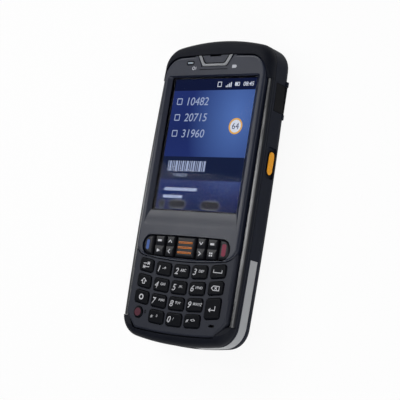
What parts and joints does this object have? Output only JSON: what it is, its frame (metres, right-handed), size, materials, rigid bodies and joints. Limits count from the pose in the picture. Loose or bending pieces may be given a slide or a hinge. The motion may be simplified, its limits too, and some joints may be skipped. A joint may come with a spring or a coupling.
{
  "type": "portable barcode data terminal",
  "caption": "Rugged handheld data terminal with a touch screen, keypad, side scan triggers, hinged port door, removable battery and scan window in its top end.",
  "frame": {"origin": "on the resting face of the back, under the middle of the body", "axes": "+X to the right seen from the front, +Y to the scanner end, +Z out of the screen"},
  "size_m": [0.074, 0.161, 0.025],
  "materials": {
    "rear_shell": "fine moulded texture",
    "front_shell": "fine moulded texture",
    "faceplate_satin": "satin metallic grey paint",
    "keypad_plate_dark": "dark satin",
    "window": "clear touch film",
    "display": "lit display",
    "frame_metal": "plain",
    "board": "solder mask",
    "mat_silicone": "matt silicone",
    "bumper_rubber": "matt rubber",
    "band_silver": "silver paint",
    "light_pipe": "clear acrylic",
    "scan_body": "black",
    "scan_glass": "dark red window",
    "screw_steel": "black zinc",
    "connector_black": "black",
    "door_black": "matt",
    "battery_black": "fine moulded texture",
    "trigger_orange": "orange satin",
    "key_black": "satin black"
  },
  "bodies": {
    "terminal": {"battery_contacts": "connector_black", "bottom_bumper": "bumper_rubber", "camera_module": "scan_body", "case_gasket": "mat_silicone", "case_screws": "screw_steel", "cluster_web": "front_shell", "dock_connector": "connector_black", "dome_sheet": "board", "earpiece_receiver": "frame_metal", "earpiece_trim": "band_silver", "faceplate": "faceplate_satin", "front_housing": "front_shell", "inner_frame": "frame_metal", "keypad_board": "board", "keypad_mat": "mat_silicone", "keypad_plate": "keypad_plate_dark", "lcd_panel": "display", "loudspeaker": "frame_metal", "main_board": "board", "port_door_pin": "screw_steel", "rear_housing": "rear_shell", "scan_engine": "scan_body", "scan_window": "scan_glass", "side_connector": "frame_metal", "status_light_pipe": "light_pipe", "top_bumper": "bumper_rubber", "touch_window": "window", "trim_band": "band_silver"},
    "port_door": {"port_door": "door_black"},
    "battery": {"battery_pack": "battery_black"},
    "battery_latch": {"battery_latch": "battery_black"},
    "right_trigger": {"right_trigger": "trigger_orange"},
    "left_trigger": {"left_trigger": "trigger_orange"},
    "volume_rocker": {"volume_rocker": "key_black"},
    "cursor_left_rocker": {"cursor_left_rocker": "key_black"},
    "cursor_right_rocker": {"cursor_right_rocker": "key_black"},
    "soft_left_rocker": {"soft_left_rocker": "key_black"},
    "soft_right_rocker": {"soft_right_rocker": "key_black"},
    "key_centre": {"key_centre": "key_black"},
    "key_send": {"key_send": "key_black"},
    "key_end": {"key_end": "key_black"},
    "key_tab": {"key_tab": "key_black"},
    "key_1": {"key_1": "key_black"},
    "key_2": {"key_2": "key_black"},
    "key_3": {"key_3": "key_black"},
    "key_space": {"key_space": "key_black"},
    "key_shift": {"key_shift": "key_black"},
    "key_4": {"key_4": "key_black"},
    "key_5": {"key_5": "key_black"},
    "key_6": {"key_6": "key_black"},
    "key_backspace": {"key_backspace": "key_black"},
    "key_menu": {"key_menu": "key_black"},
    "key_7": {"key_7": "key_black"},
    "key_8": {"key_8": "key_black"},
    "key_9": {"key_9": "key_black"},
    "key_enter": {"key_enter": "key_black"},
    "key_power": {"key_power": "key_black"},
    "key_star": {"key_star": "key_black"},
    "key_0": {"key_0": "key_black"},
    "key_hash": {"key_hash": "key_black"}
  },
  "joints": [
    {"name": "port_door_hinge", "type": "hinge", "parent": "terminal", "child": "port_door", "pos_m": [0.035, 0.05075, 0.0079], "axis": [0, 1, 0], "range_deg": [0, 110]},
    {"name": "battery_slide", "type": "slide", "parent": "terminal", "child": "battery", "axis": [0, 0, -1], "range_m": [0, 0.015]},
    {"name": "battery_latch_slide", "type": "slide", "parent": "terminal", "child": "battery_latch", "axis": [0, 1, 0], "range_m": [0, 0.0026], "stiffness_N_per_m": 300, "springref_m": -0.001},
    {"name": "right_trigger_press", "type": "slide", "parent": "terminal", "child": "right_trigger", "axis": [-1, 0, 0], "range_m": [0, 0.0006], "stiffness_N_per_m": 400, "springref_m": -0.001},
    {"name": "left_trigger_press", "type": "slide", "parent": "terminal", "child": "left_trigger", "axis": [1, 0, 0], "range_m": [0, 0.0006], "stiffness_N_per_m": 400, "springref_m": -0.001},
    {"name": "volume_rocker_tilt", "type": "hinge", "parent": "terminal", "child": "volume_rocker", "pos_m": [-0.0336, 0.05, 0.0123], "axis": [0, 0, 1], "range_deg": [-2.5, 2.5], "stiffness_Nm_per_rad": 0.02},
    {"name": "cursor_left_rocker_tilt", "type": "hinge", "parent": "terminal", "child": "cursor_left_rocker", "pos_m": [-0.0101, -0.0306, 0.0204], "axis": [1, 0, 0], "range_deg": [-3, 3], "stiffness_Nm_per_rad": 0.02},
    {"name": "cursor_right_rocker_tilt", "type": "hinge", "parent": "terminal", "child": "cursor_right_rocker", "pos_m": [0.0101, -0.0306, 0.0204], "axis": [1, 0, 0], "range_deg": [-3, 3], "stiffness_Nm_per_rad": 0.02},
    {"name": "soft_left_rocker_tilt", "type": "hinge", "parent": "terminal", "child": "soft_left_rocker", "pos_m": [-0.0172, -0.0306, 0.0204], "axis": [1, 0, 0], "range_deg": [-3, 3], "stiffness_Nm_per_rad": 0.02},
    {"name": "soft_right_rocker_tilt", "type": "hinge", "parent": "terminal", "child": "soft_right_rocker", "pos_m": [0.0172, -0.0306, 0.0204], "axis": [1, 0, 0], "range_deg": [-3, 3], "stiffness_Nm_per_rad": 0.02},
    {"name": "key_centre_press", "type": "slide", "parent": "terminal", "child": "key_centre", "axis": [0, 0, -1], "range_m": [0, 0.0005], "stiffness_N_per_m": 400, "springref_m": -0.001},
    {"name": "key_send_press", "type": "slide", "parent": "terminal", "child": "key_send", "axis": [0, 0, -1], "range_m": [0, 0.0005], "stiffness_N_per_m": 400, "springref_m": -0.001},
    {"name": "key_end_press", "type": "slide", "parent": "terminal", "child": "key_end", "axis": [0, 0, -1], "range_m": [0, 0.0005], "stiffness_N_per_m": 400, "springref_m": -0.001},
    {"name": "key_tab_press", "type": "slide", "parent": "terminal", "child": "key_tab", "axis": [0, 0, -1], "range_m": [0, 0.0005], "stiffness_N_per_m": 400, "springref_m": -0.001},
    {"name": "key_1_press", "type": "slide", "parent": "terminal", "child": "key_1", "axis": [0, 0, -1], "range_m": [0, 0.0005], "stiffness_N_per_m": 400, "springref_m": -0.001},
    {"name": "key_2_press", "type": "slide", "parent": "terminal", "child": "key_2", "axis": [0, 0, -1], "range_m": [0, 0.0005], "stiffness_N_per_m": 400, "springref_m": -0.001},
    {"name": "key_3_press", "type": "slide", "parent": "terminal", "child": "key_3", "axis": [0, 0, -1], "range_m": [0, 0.0005], "stiffness_N_per_m": 400, "springref_m": -0.001},
    {"name": "key_space_press", "type": "slide", "parent": "terminal", "child": "key_space", "axis": [0, 0, -1], "range_m": [0, 0.0005], "stiffness_N_per_m": 400, "springref_m": -0.001},
    {"name": "key_shift_press", "type": "slide", "parent": "terminal", "child": "key_shift", "axis": [0, 0, -1], "range_m": [0, 0.0005], "stiffness_N_per_m": 400, "springref_m": -0.001},
    {"name": "key_4_press", "type": "slide", "parent": "terminal", "child": "key_4", "axis": [0, 0, -1], "range_m": [0, 0.0005], "stiffness_N_per_m": 400, "springref_m": -0.001},
    {"name": "key_5_press", "type": "slide", "parent": "terminal", "child": "key_5", "axis": [0, 0, -1], "range_m": [0, 0.0005], "stiffness_N_per_m": 400, "springref_m": -0.001},
    {"name": "key_6_press", "type": "slide", "parent": "terminal", "child": "key_6", "axis": [0, 0, -1], "range_m": [0, 0.0005], "stiffness_N_per_m": 400, "springref_m": -0.001},
    {"name": "key_backspace_press", "type": "slide", "parent": "terminal", "child": "key_backspace", "axis": [0, 0, -1], "range_m": [0, 0.0005], "stiffness_N_per_m": 400, "springref_m": -0.001},
    {"name": "key_menu_press", "type": "slide", "parent": "terminal", "child": "key_menu", "axis": [0, 0, -1], "range_m": [0, 0.0005], "stiffness_N_per_m": 400, "springref_m": -0.001},
    {"name": "key_7_press", "type": "slide", "parent": "terminal", "child": "key_7", "axis": [0, 0, -1], "range_m": [0, 0.0005], "stiffness_N_per_m": 400, "springref_m": -0.001},
    {"name": "key_8_press", "type": "slide", "parent": "terminal", "child": "key_8", "axis": [0, 0, -1], "range_m": [0, 0.0005], "stiffness_N_per_m": 400, "springref_m": -0.001},
    {"name": "key_9_press", "type": "slide", "parent": "terminal", "child": "key_9", "axis": [0, 0, -1], "range_m": [0, 0.0005], "stiffness_N_per_m": 400, "springref_m": -0.001},
    {"name": "key_enter_press", "type": "slide", "parent": "terminal", "child": "key_enter", "axis": [0, 0, -1], "range_m": [0, 0.0005], "stiffness_N_per_m": 400, "springref_m": -0.001},
    {"name": "key_power_press", "type": "slide", "parent": "terminal", "child": "key_power", "axis": [0, 0, -1], "range_m": [0, 0.0005], "stiffness_N_per_m": 400, "springref_m": -0.001},
    {"name": "key_star_press", "type": "slide", "parent": "terminal", "child": "key_star", "axis": [0, 0, -1], "range_m": [0, 0.0005], "stiffness_N_per_m": 400, "springref_m": -0.001},
    {"name": "key_0_press", "type": "slide", "parent": "terminal", "child": "key_0", "axis": [0, 0, -1], "range_m": [0, 0.0005], "stiffness_N_per_m": 400, "springref_m": -0.001},
    {"name": "key_hash_press", "type": "slide", "parent": "terminal", "child": "key_hash", "axis": [0, 0, -1], "range_m": [0, 0.0005], "stiffness_N_per_m": 400, "springref_m": -0.001}
  ]
}
